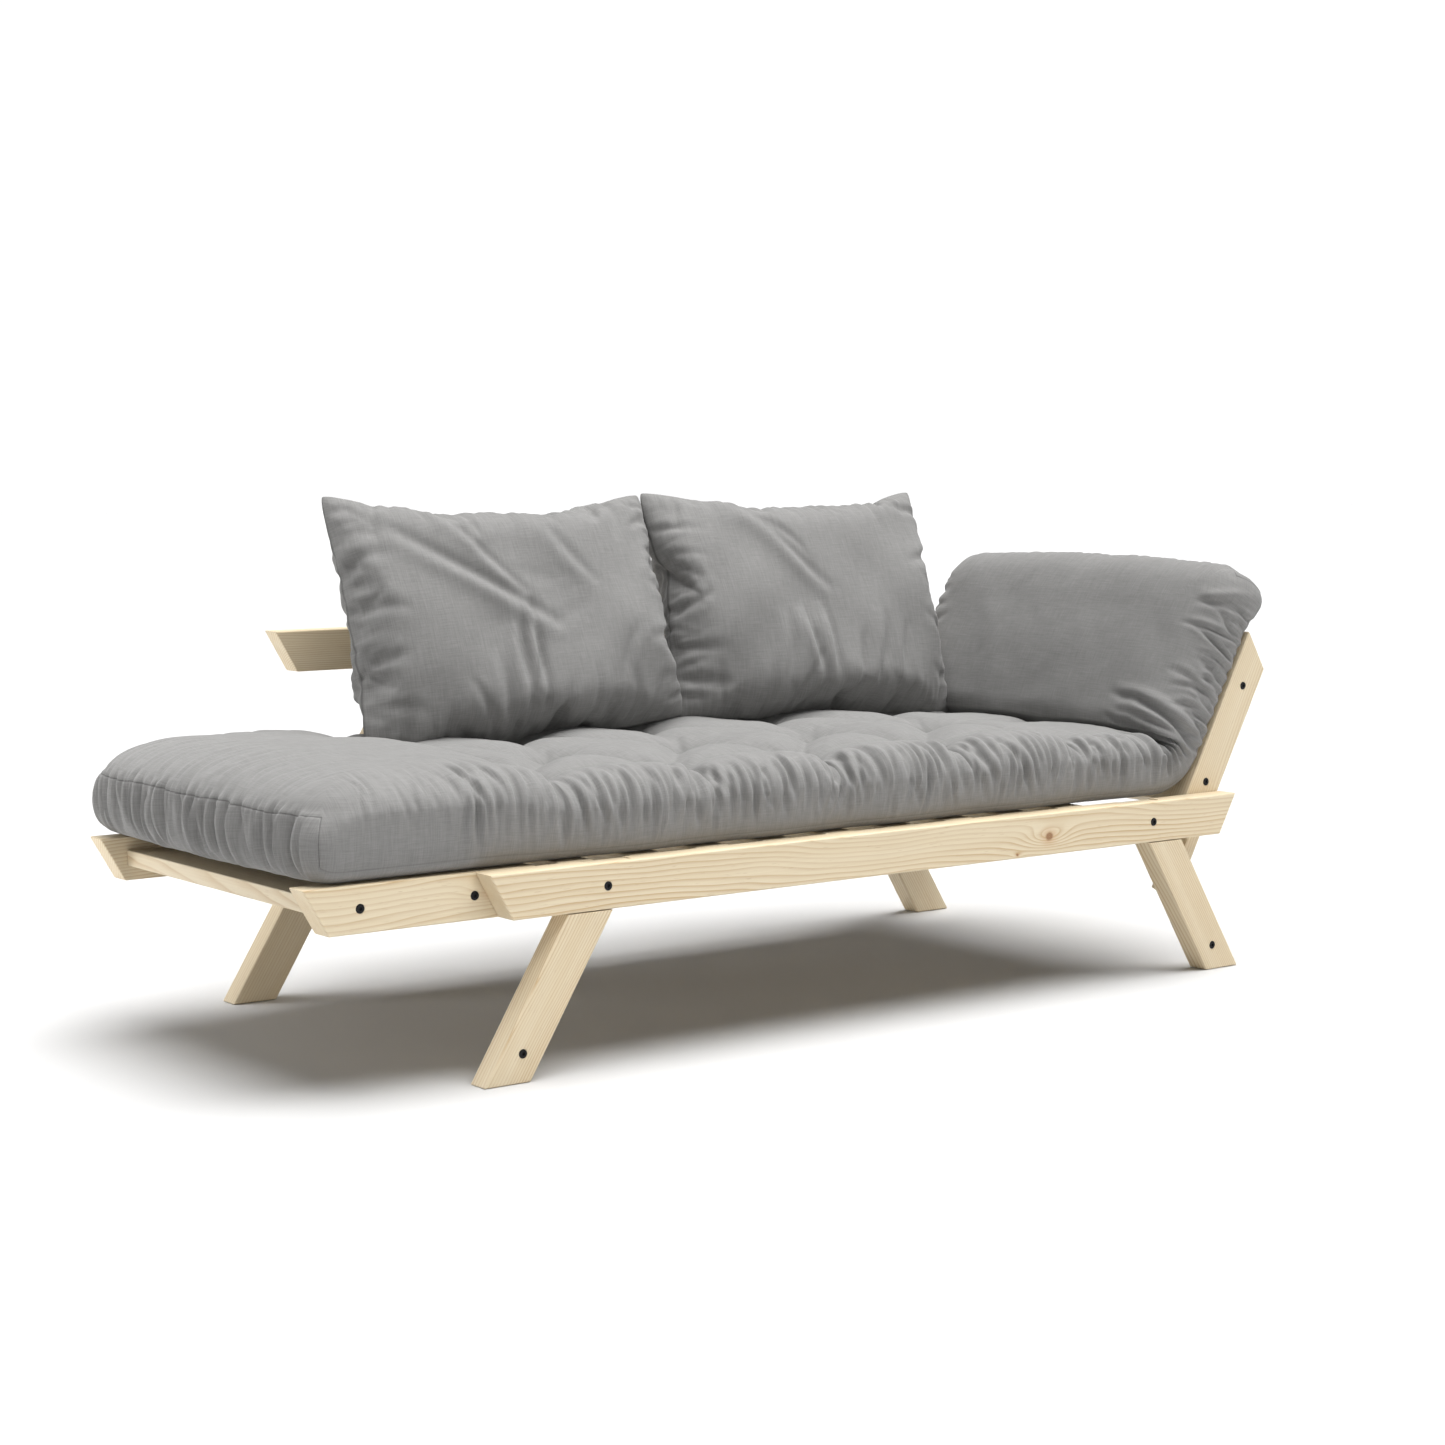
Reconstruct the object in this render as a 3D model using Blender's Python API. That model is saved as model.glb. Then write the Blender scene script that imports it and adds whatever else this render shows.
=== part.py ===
"""Futon sofa bed: pine frame with two fold-down ends, one long futon and two
back pillows.  Metres, +Z up, front faces -Y, length along X.

Everything is laid out in a working frame whose Y=0 is the front face of the
front rail and whose X=0 is the middle of the rails; place() moves each mesh
to the final frame (middle of the bounding box, floor at z=0)."""
import bpy
import bmesh
import math
from mathutils import Vector

# ------------------------------------------------------------ main sizes
T = 0.040            # board thickness
H = 0.069            # rail and end-frame board height
RAIL_TOP = 1.546     # length of the long rails along the top edge
CUT = 0.039          # how far each slanted rail end leans in
Z0 = 0.2373          # underside of the rails
Z1 = Z0 + H          # top of the rails
Y_REAR = 0.718       # front face of the rear rail
GAP = 0.0005         # air between parts that touch in the real thing
LEG_W = 0.067        # leg board width, measured square to its length
SLOPE = 0.62         # sideways run of a leg per unit of height
FOOT_X = 0.7846      # outer corner of a foot from the middle
LAP = 0.014          # front skin of the half lap between rail and front leg
Y_REARLEG = Y_REAR + T + GAP
Y_BACK = Y_REARLEG + T + GAP
BACK_Z0, BACK_Z1 = 0.5366, 0.6052
BACK_HALF, BACK_CUT = 0.675, 0.040
PIVOT_X, PIVOT_Z = 0.7125, 0.2716
RAISE = math.radians(61.0)
ARM_GAP = 0.001      # air between an end-frame board and a rail
ARM_END = 0.338      # pivot to the outer end, along the board
ARM_CUT = 0.0405
TAIL = 0.145         # pivot to the tip of the tail
NOTCH = 0.046        # pivot to the shoulder of the tail
TONGUE = -0.0070     # upper edge of the tail, from the board centre line
BOLT_A, BOLT_B = 0.2474, 0.0598
BAR_W, BAR_T = 0.094, 0.0248
SLAT_W, SLAT_T, SLAT_PITCH, SLAT_FIRST, SLATS = 0.060, 0.020, 0.126, -0.597, 9
LEDGE_T, LEDGE_W, LEDGE_HALF = 0.0200, 0.0220, 0.650
LEG_BOLT_X = 0.5685
FOOT_BOLT_X, FOOT_BOLT_Z = 0.7192, 0.0429
MAT_Y0, MAT_Y1, MAT_TH = 0.030, 0.757, 0.132
MAT_END_L, MAT_END_R = 0.318, 0.430
PIL_W, PIL_H, PIL_D = 0.604, 0.408, 0.165
PIL_TILT = math.radians(18.4)
SHIFT = Vector((0.08165, -0.4195, 0.0))

for o in list(bpy.data.objects):
    bpy.data.objects.remove(o, do_unlink=True)


def material(name, rgba, rough, metal=0.0):
    m = bpy.data.materials.new(name)
    m.use_nodes = True
    b = m.node_tree.nodes["Principled BSDF"]
    b.inputs["Base Color"].default_value = rgba
    b.inputs["Roughness"].default_value = rough
    b.inputs["Metallic"].default_value = metal
    m.diffuse_color = rgba
    return m


def pine(name):
    return material("mat_" + name, (0.74, 0.60, 0.40, 1.0), 0.55)


def cloth(name):
    return material("mat_" + name, (0.20, 0.20, 0.195, 1.0), 0.95)


def black(name):
    return material("mat_" + name, (0.02, 0.02, 0.022, 1.0), 0.45, 0.6)


def finish(name, bm, mat, smooth=False, centre=None):
    """Move to the final frame, put the origin where asked, add the object."""
    bmesh.ops.translate(bm, vec=SHIFT, verts=bm.verts)
    if centre is None:
        lo = Vector((1e9,) * 3)
        hi = -lo
        for v in bm.verts:
            for k in range(3):
                lo[k] = min(lo[k], v.co[k])
                hi[k] = max(hi[k], v.co[k])
        origin = (lo + hi) / 2
    else:
        origin = Vector(centre) + SHIFT
    bmesh.ops.translate(bm, vec=-origin, verts=bm.verts)
    bmesh.ops.recalc_face_normals(bm, faces=bm.faces)
    me = bpy.data.meshes.new(name)
    bm.to_mesh(me)
    bm.free()
    for p in me.polygons:
        p.use_smooth = smooth
    ob = bpy.data.objects.new(name, me)
    ob.location = origin
    me.materials.append(mat)
    bpy.context.scene.collection.objects.link(ob)
    return ob


def prism(poly, y0, y1, edge=0.0022, segs=2):
    """Board from an (x, z) outline between two y planes, edges eased."""
    bm = bmesh.new()
    a = [bm.verts.new((x, y0, z)) for x, z in poly]
    b = [bm.verts.new((x, y1, z)) for x, z in poly]
    n = len(poly)
    bm.faces.new(a)
    bm.faces.new(list(reversed(b)))
    for i in range(n):
        bm.faces.new((a[i], b[i], b[(i + 1) % n], a[(i + 1) % n]))
    bmesh.ops.recalc_face_normals(bm, faces=bm.faces)
    if edge > 0:
        bmesh.ops.bevel(bm, geom=list(bm.edges), offset=edge, segments=segs,
                        profile=0.5, affect='EDGES', clamp_overlap=True)
    return bm


def tube(centre, axis, r, length, segs=24):
    """Plain cylinder starting at centre and running along axis."""
    bm = bmesh.new()
    axis = Vector(axis).normalized()
    u = axis.orthogonal().normalized()
    v = axis.cross(u)
    c = Vector(centre)
    rings = []
    for d in (0.0, length):
        rings.append([bm.verts.new(c + axis * d + (u * math.cos(2 * math.pi * i / segs)
                     + v * math.sin(2 * math.pi * i / segs)) * r) for i in range(segs)])
    bm.faces.new(rings[0])
    bm.faces.new(list(reversed(rings[1])))
    for i in range(segs):
        j = (i + 1) % segs
        bm.faces.new((rings[0][i], rings[1][i], rings[1][j], rings[0][j]))
    bmesh.ops.recalc_face_normals(bm, faces=bm.faces)
    return bm


CUTTERS = []


def drill(ob, bm):
    """Cut bm (working frame) out of ob with an exact boolean."""
    bmesh.ops.translate(bm, vec=SHIFT, verts=bm.verts)
    me = bpy.data.meshes.new("cut_%d" % len(CUTTERS))
    bm.to_mesh(me)
    bm.free()
    c = bpy.data.objects.new("cut_%d" % len(CUTTERS), me)
    bpy.context.scene.collection.objects.link(c)
    c.hide_render = True
    c.display_type = 'WIRE'
    CUTTERS.append(c)
    m = ob.modifiers.new("cut%d" % len(ob.modifiers), 'BOOLEAN')
    m.operation = 'DIFFERENCE'
    m.solver = 'EXACT'
    m.object = c


def bake():
    """Turn every cut into plain mesh and drop the cutters."""
    bpy.context.view_layer.update()
    dg = bpy.context.evaluated_depsgraph_get()
    for ob in list(bpy.data.objects):
        if ob in CUTTERS or not ob.modifiers:
            continue
        me = bpy.data.meshes.new_from_object(ob.evaluated_get(dg), depsgraph=dg)
        me.name = ob.name
        ob.modifiers.clear()
        ob.data = me
        bm = bmesh.new()
        bm.from_mesh(me)
        bmesh.ops.remove_doubles(bm, verts=bm.verts, dist=0.000002)
        bm.to_mesh(me)
        bm.free()
    for c in CUTTERS:
        bpy.data.objects.remove(c, do_unlink=True)


HEAD_R, HEAD_T, SHANK_R = 0.0067, 0.0030, 0.0040


def bolt(name, face, direction, length, boards):
    """Black socket-head bolt: face = point on the outer wood face, direction
    points into the wood.  Cuts its own hole in every board listed."""
    d = Vector(direction).normalized()
    u = d.orthogonal().normalized()
    v = d.cross(u)
    f = Vector(face)
    n = 24
    prof = [(0.0, -0.0006 + 0.0022, 'hex'), (0.0030, -0.0006, 'hex')]
    bm = bmesh.new()

    def ring(r, z, hexed=False):
        out = []
        for i in range(n):
            a = 2 * math.pi * i / n
            rr = r
            if hexed:
                k = a % (math.pi / 3) - math.pi / 6
                rr = r * math.cos(math.pi / 6) / math.cos(k)
            out.append(bm.verts.new(f + d * z + (u * math.cos(a) + v * math.sin(a)) * rr))
        return out

    rows = [ring(0.0031, 0.0016, True), ring(0.0031, -0.0008, True),
            ring(HEAD_R - 0.0011, -0.0008), ring(HEAD_R - 0.0003, -0.0004),
            ring(HEAD_R, 0.0004), ring(HEAD_R, HEAD_T),
            ring(SHANK_R, HEAD_T), ring(SHANK_R, length - 0.0008),
            ring(SHANK_R - 0.0008, length)]
    bm.faces.new(rows[0])
    for a, b in zip(rows, rows[1:]):
        for i in range(n):
            j = (i + 1) % n
            bm.faces.new((a[i], a[j], b[j], b[i]))
    bm.faces.new(rows[-1])
    ob = finish(name, bm, black(name), True)
    for p in ob.data.polygons:
        p.use_smooth = len(p.vertices) == 4
    for b in boards:
        if b is boards[0]:
            drill(b, tube(f - d * 0.004, d, HEAD_R + 0.0005, HEAD_T + 0.0045))
        drill(b, tube(f + d * 0.001, d, SHANK_R + 0.0004, length + 0.0002))
    return ob


def leg_poly(z_lo, z_hi, sign, pad=0.0):
    """Slanted board outline between two level cuts; sign -1 = left."""
    wide = LEG_W * math.sqrt(1 + SLOPE * SLOPE)
    pts = []
    for z, inner in ((z_lo, False), (z_hi, False), (z_hi, True), (z_lo, True)):
        x = FOOT_X - SLOPE * z - (wide + pad if inner else -pad)
        pts.append((sign * x, z))
    return pts


# ---------------------------------------------------------------- rails
def rail_poly(half, cut, z0, z1):
    return [(-half, z1), (half, z1), (half - cut, z0), (-half + cut, z0)]


front_rail = finish("front_rail", prism(rail_poly(RAIL_TOP / 2, CUT, Z0, Z1), 0.0, T), pine("front_rail"))
rear_rail = finish("rear_rail", prism(rail_poly(RAIL_TOP / 2, CUT, Z0, Z1), Y_REAR, Y_REAR + T), pine("rear_rail"))
back_rail = finish("backrest_rail", prism(rail_poly(BACK_HALF, BACK_CUT, BACK_Z0, BACK_Z1), Y_BACK, Y_BACK + T),
                   pine("backrest_rail"))

# ----------------------------------------------------------------- legs
legs = {}
for side, sg in (("left", -1), ("right", 1)):
    # front leg: full board to the underside of the rail, thinner tongue behind it
    bm = prism(leg_poly(0.0, Z1 - 0.0010, sg), 0.0, T - GAP)
    ob = finish("front_leg_" + side, bm, pine("front_leg_" + side))
    cut = prism([(-1.2, Z0 - 0.0012), (1.2, Z0 - 0.0012), (1.2, 0.5), (-1.2, 0.5)], -0.05, LAP + GAP, 0)
    drill(ob, cut)
    legs["front_" + side] = ob
    drill(front_rail, prism(leg_poly(Z0 - 0.03, Z1 + 0.03, sg, GAP), LAP, T + 0.02, 0))
    legs["rear_" + side] = finish("rear_leg_" + side, prism(leg_poly(0.0, BACK_Z1 - 0.002, sg), Y_REARLEG,
                                  Y_REARLEG + T), pine("rear_leg_" + side))

# ------------------------------------------------- ledgers and seat slats
LEDGE_Z1 = Z1 - SLAT_T - GAP
LEDGE_Z0 = LEDGE_Z1 - LEDGE_T
for nm, y0 in (("slat_ledger_front", T + GAP), ("slat_ledger_rear", Y_REAR - GAP - LEDGE_W)):
    finish(nm, prism([(-LEDGE_HALF, LEDGE_Z0), (LEDGE_HALF, LEDGE_Z0), (LEDGE_HALF, LEDGE_Z1),
                      (-LEDGE_HALF, LEDGE_Z1)], y0, y0 + LEDGE_W, 0.0012, 1), pine(nm))
for i in range(SLATS):
    cx = SLAT_FIRST + i * SLAT_PITCH
    finish("seat_slat_%d" % (i + 1), prism([(cx - SLAT_W / 2, Z1 - SLAT_T), (cx + SLAT_W / 2, Z1 - SLAT_T),
           (cx + SLAT_W / 2, Z1), (cx - SLAT_W / 2, Z1)], T + GAP, Y_REAR - GAP, 0.0020, 2),
           pine("seat_slat_%d" % (i + 1)))


# -------------------------------------------------------- folding ends
def turned(bm, side, raised):
    """bm is drawn lying flat for the right end, pivot at (0, 0); place it."""
    ang = RAISE if raised else 0.0
    sg = 1 if side == "right" else -1
    for v in bm.verts:
        s, t = v.co.x, v.co.z
        x = PIVOT_X + s * math.cos(ang) - t * math.sin(ang)
        z = PIVOT_Z + s * math.sin(ang) + t * math.cos(ang)
        v.co.x, v.co.z = sg * x, z
    if sg < 0:
        bmesh.ops.reverse_faces(bm, faces=bm.faces)
    return bm


def arm_point(side, raised, s, t, y):
    ang = RAISE if raised else 0.0
    sg = 1 if side == "right" else -1
    return (sg * (PIVOT_X + s * math.cos(ang) - t * math.sin(ang)), y,
            PIVOT_Z + s * math.sin(ang) + t * math.cos(ang))


HB = H / 2
arm_poly = [(-TAIL, -HB), (ARM_END - ARM_CUT, -HB), (ARM_END, HB), (-NOTCH, HB), (-NOTCH, TONGUE), (-TAIL, TONGUE)]
arm_y = {"front": (T + ARM_GAP, 2 * T + ARM_GAP), "rear": (Y_REAR - ARM_GAP - T, Y_REAR - ARM_GAP)}
bars_y = (arm_y["front"][1] + GAP, arm_y["rear"][0] - GAP)
arms = {}
for side, raised in (("left", False), ("right", True)):
    pivot = arm_point(side, raised, 0, 0, 0)
    for end in ("front", "rear"):
        nm = "%s_end_board_%s" % (side, end)
        y0, y1 = arm_y[end]
        bm = turned(prism(arm_poly, y0, y1), side, raised)
        arms[nm] = finish(nm, bm, pine(nm), False, (pivot[0], (y0 + y1) / 2, pivot[2]))
        drill(arms[nm], tube((pivot[0], y0 - 0.01, pivot[2]), (0, 1, 0), 0.0065, T + 0.02))
    for tag, s in (("outer", BOLT_A), ("inner", BOLT_B)):
        nm = "%s_end_bar_%s" % (side, tag)
        c = 0.0015
        bm = prism([(s - BAR_W / 2, c - BAR_T / 2), (s + BAR_W / 2, c - BAR_T / 2),
                    (s + BAR_W / 2, c + BAR_T / 2), (s - BAR_W / 2, c + BAR_T / 2)], bars_y[0], bars_y[1])
        arms[nm] = finish(nm, turned(bm, side, raised), pine(nm))
    # pivot pins, fixed in the rails and hidden between the boards
    for end in ("front", "rear"):
        if end == "front":
            start, d, rail = T - 0.024, 1, front_rail
        else:
            start, d, rail = Y_REAR + 0.024, -1, rear_rail
        nm = "%s_pivot_pin_%s" % (side, end)
        bm = tube((pivot[0], start, pivot[2]), (0, d, 0), 0.0060, 0.024 + ARM_GAP + T - 0.001)
        ob = finish(nm, bm, material("mat_" + nm, (0.45, 0.45, 0.46, 1), 0.35, 1.0))
        for p in ob.data.polygons:
            p.use_smooth = len(p.vertices) == 4
        drill(rail, tube((pivot[0], start - d * 0.0005, pivot[2]), (0, d, 0), 0.0063, 0.06))

# ---------------------------------------------------------------- bolts
for side, raised in (("left", False), ("right", True)):
    sg = -1 if side == "left" else 1
    bolt("front_leg_bolt_" + side, (sg * LEG_BOLT_X, 0.0, 0.2719), (0, 1, 0), 0.034,
         [front_rail, legs["front_" + side]])
    bolt("foot_screw_front_" + side, (sg * FOOT_BOLT_X, 0.0, FOOT_BOLT_Z), (0, 1, 0), 0.030, [legs["front_" + side]])
    bolt("foot_screw_rear_" + side, (sg * FOOT_BOLT_X, Y_REARLEG + T, FOOT_BOLT_Z), (0, -1, 0), 0.030,
         [legs["rear_" + side]])
    bolt("rear_leg_bolt_" + side, (sg * LEG_BOLT_X, Y_REARLEG + T, 0.2719), (0, -1, 0), 0.068,
         [legs["rear_" + side], rear_rail])
    zb = (BACK_Z0 + BACK_Z1) / 2
    xb = FOOT_X - SLOPE * zb - LEG_W * math.sqrt(1 + SLOPE * SLOPE) / 2
    bolt("backrest_bolt_" + side, (sg * xb, Y_BACK + T, zb), (0, -1, 0), 0.068, [back_rail, legs["rear_" + side]])
    for tag, s in (("outer", BOLT_A), ("inner", BOLT_B)):
        bar = arms["%s_end_bar_%s" % (side, tag)]
        for end in ("front", "rear"):
            y0, y1 = arm_y[end]
            yf, d = (y0, 1) if end == "front" else (y1, -1)
            bolt("%s_end_bolt_%s_%s" % (side, tag, end), arm_point(side, raised, s, 0.0009, yf), (0, d, 0), 0.082,
                 [arms["%s_end_board_%s" % (side, end)], bar])

bake()


# ------------------------------------------------------------- soft parts
def soft_block(poly, y0, y1, edge, segs=4):
    bm = prism(poly, y0, y1, edge, segs)
    return bm


K = math.tan(RAISE / 2)
MZ0 = Z1 + 0.0010
MZ1 = MZ0 + MAT_TH
inset = 0.0010


def mitre(z):
    return (z - PIVOT_Z) * K + inset


# middle length: both ends slope back along the half angle of the fold
mid = [(-PIVOT_X + mitre(MZ0), MZ0), (PIVOT_X - mitre(MZ0), MZ0), (PIVOT_X - mitre(MZ1), MZ1),
       (-PIVOT_X + mitre(MZ1), MZ1)]
finish("futon_middle", soft_block(mid, MAT_Y0, MAT_Y1, 0.026), cloth("futon_middle"), True)
for side, raised, length in (("left", False, MAT_END_L), ("right", True, MAT_END_R)):
    lo, hi = MZ0 - PIVOT_Z, MZ1 - PIVOT_Z
    poly = [(mitre(MZ0), lo), (length, lo), (length, hi), (mitre(MZ1), hi)]
    nm = "futon_%s_end" % side
    pv = arm_point(side, raised, 0, 0, (MAT_Y0 + MAT_Y1) / 2)
    finish(nm, turned(soft_block(poly, MAT_Y0, MAT_Y1, 0.026), side, raised), cloth(nm), True, pv)


def pillow(name, cx):
    """Square-cornered cushion, full in the middle and thin along its seam."""
    bm = bmesh.new()
    nu, nv = 26, 18
    grid = {}
    ct, st = math.cos(PIL_TILT), math.sin(PIL_TILT)

    def spot(i, j, sgn):
        u = -1 + 2 * i / nu
        v = -1 + 2 * j / nv
        full = max(0.0, (1 - abs(u) ** 2.6)) ** 0.62 * max(0.0, (1 - abs(v) ** 2.6)) ** 0.62
        pull = 0.030
        x = u * (PIL_W / 2 - pull * (1 - v * v) * abs(u) ** 3)
        h = v * (PIL_H / 2 - pull * (1 - u * u) * abs(v) ** 3)
        d = sgn * (PIL_D / 2) * full
        y = 0.662 + h * st + d * ct
        z = 0.636 + h * ct - d * st
        return (cx + x, y, z)

    for sgn in (-1, 1):
        for i in range(nu + 1):
            for j in range(nv + 1):
                edge = i in (0, nu) or j in (0, nv)
                if edge and sgn == 1:
                    grid[(i, j, 1)] = grid[(i, j, -1)]
                else:
                    grid[(i, j, sgn)] = bm.verts.new(spot(i, j, sgn))
    for sgn in (-1, 1):
        for i in range(nu):
            for j in range(nv):
                q = [grid[(i, j, sgn)], grid[(i + 1, j, sgn)], grid[(i + 1, j + 1, sgn)], grid[(i, j + 1, sgn)]]
                bm.faces.new(q if sgn == -1 else list(reversed(q)))
    return finish(name, bm, cloth(name), True)


pillow("back_pillow_left", -0.3090)
pillow("back_pillow_right", 0.3030)
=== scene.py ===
"""Looks for the folding futon sofa bed: fabric pieces, procedural materials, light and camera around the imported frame."""

import math

import bmesh
import bpy
import numpy as np
from mathutils import Matrix, Vector


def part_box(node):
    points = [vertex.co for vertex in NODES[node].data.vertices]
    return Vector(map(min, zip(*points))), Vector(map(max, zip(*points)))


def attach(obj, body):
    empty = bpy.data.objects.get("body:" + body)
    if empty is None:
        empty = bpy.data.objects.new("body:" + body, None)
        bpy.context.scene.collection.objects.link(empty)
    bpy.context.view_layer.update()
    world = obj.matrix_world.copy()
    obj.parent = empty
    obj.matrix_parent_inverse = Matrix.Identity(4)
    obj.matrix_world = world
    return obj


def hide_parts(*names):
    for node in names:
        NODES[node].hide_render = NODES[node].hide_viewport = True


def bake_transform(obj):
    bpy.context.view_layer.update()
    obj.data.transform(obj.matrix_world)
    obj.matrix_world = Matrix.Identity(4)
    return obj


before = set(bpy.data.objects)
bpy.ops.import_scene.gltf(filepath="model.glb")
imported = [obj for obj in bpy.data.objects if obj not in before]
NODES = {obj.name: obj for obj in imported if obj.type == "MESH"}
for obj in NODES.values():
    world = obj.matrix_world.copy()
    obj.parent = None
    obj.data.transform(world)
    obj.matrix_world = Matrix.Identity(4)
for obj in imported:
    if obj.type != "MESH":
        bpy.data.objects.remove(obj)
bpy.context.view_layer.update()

# Measurements below are in millimetres in the builder's working frame, whose
# X = 0 is the middle of the rails and Y = 0 the front face of the front rail.
SHIFT = np.array([81.65, -419.5, 0.0])


def row(p):
    """Working millimetres to the row frame, in metres."""
    return (np.asarray(p, float) + SHIFT) / 1000.0


def smooth(x):
    x = np.clip(x, 0.0, 1.0)
    return x * x * (3 - 2 * x)


def make_object(name, verts, faces, smooth_faces=True):
    """A mesh object from arrays: verts in metres in the row frame, faces as an (n, 4) array or list."""
    mesh = bpy.data.meshes.new(name)
    mesh.from_pydata(verts.tolist(), [], [list(map(int, f)) for f in faces])
    if smooth_faces:
        mesh.shade_smooth()
    mesh.update()
    o = bpy.data.objects.new(name, mesh)
    bpy.context.scene.collection.objects.link(o)
    return o


# ---------------------------------------------------------------- materials


class Nodes:
    """Short-hand for building one material's node tree."""

    def __init__(self, name):
        self.mat = bpy.data.materials.new(name)
        self.mat.use_nodes = True
        self.t = self.mat.node_tree
        self.t.nodes.clear()
        self.out = self.t.nodes.new("ShaderNodeOutputMaterial")
        self.bsdf = self.t.nodes.new("ShaderNodeBsdfPrincipled")
        self.t.links.new(self.bsdf.outputs[0], self.out.inputs[0])

    def link(self, a, b):
        self.t.links.new(a, b)

    def put(self, socket, value):
        if isinstance(value, bpy.types.NodeSocket):
            self.link(value, socket)
        elif value is not None:
            socket.default_value = value

    def math(self, op, a, b=None, c=None, clamp=False):
        n = self.t.nodes.new("ShaderNodeMath")
        n.operation = op
        n.use_clamp = clamp
        for i, v in enumerate((a, b, c)):
            if v is not None:
                self.put(n.inputs[i], v)
        return n.outputs[0]

    def vmath(self, op, a, b=None):
        n = self.t.nodes.new("ShaderNodeVectorMath")
        n.operation = op
        self.put(n.inputs[0], a)
        if b is not None:
            self.put(n.inputs[1], b)
        return n.outputs["Value"] if op in ("DOT_PRODUCT", "LENGTH") else n.outputs[0]

    def coords(self, kind="Object"):
        return self.t.nodes.new("ShaderNodeTexCoord").outputs[kind]

    def uv(self, name):
        n = self.t.nodes.new("ShaderNodeUVMap")
        n.uv_map = name
        return n.outputs[0]

    def attr(self, name):
        n = self.t.nodes.new("ShaderNodeAttribute")
        n.attribute_name = name
        return n.outputs["Fac"]

    def sep(self, v):
        n = self.t.nodes.new("ShaderNodeSeparateXYZ")
        self.put(n.inputs[0], v)
        return n.outputs

    def comb(self, x, y, z):
        n = self.t.nodes.new("ShaderNodeCombineXYZ")
        for i, v in enumerate((x, y, z)):
            self.put(n.inputs[i], v)
        return n.outputs[0]

    def noise(self, vec, scale=1.0, detail=2.0, rough=0.5, distortion=0.0):
        n = self.t.nodes.new("ShaderNodeTexNoise")
        n.inputs["Scale"].default_value = scale
        n.inputs["Detail"].default_value = detail
        n.inputs["Roughness"].default_value = rough
        n.inputs["Distortion"].default_value = distortion
        self.link(vec, n.inputs["Vector"])
        return n.outputs["Fac"]

    def ramp(self, fac, stops, mode="LINEAR"):
        n = self.t.nodes.new("ShaderNodeValToRGB")
        n.color_ramp.interpolation = mode
        e = n.color_ramp.elements
        while len(e) < len(stops):
            e.new(0.5)
        for el, (pos, col) in zip(e, stops):
            el.position = pos
            el.color = (*col, 1.0) if len(col) == 3 else col
        self.put(n.inputs[0], fac)
        return n.outputs[0]

    def mix(self, fac, a, b, mode="MIX"):
        n = self.t.nodes.new("ShaderNodeMix")
        n.data_type = "RGBA"
        n.blend_type = mode
        self.put(n.inputs[0], fac)
        for sock, v in ((n.inputs[6], a), (n.inputs[7], b)):
            if isinstance(v, tuple):
                v = (*v, 1.0) if len(v) == 3 else v
            self.put(sock, v)
        return n.outputs[2]

    def remap(self, v, a0, a1, b0, b1, clamp=True):
        n = self.t.nodes.new("ShaderNodeMapRange")
        n.clamp = clamp
        self.put(n.inputs[0], v)
        for i, x in enumerate((a0, a1, b0, b1)):
            n.inputs[i + 1].default_value = x
        return n.outputs[0]

    def bump(self, height, distance, strength=1.0, normal=None):
        n = self.t.nodes.new("ShaderNodeBump")
        n.inputs["Strength"].default_value = strength
        n.inputs["Distance"].default_value = distance
        self.link(height, n.inputs["Height"])
        if normal is not None:
            self.link(normal, n.inputs["Normal"])
        return n.outputs[0]


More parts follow.
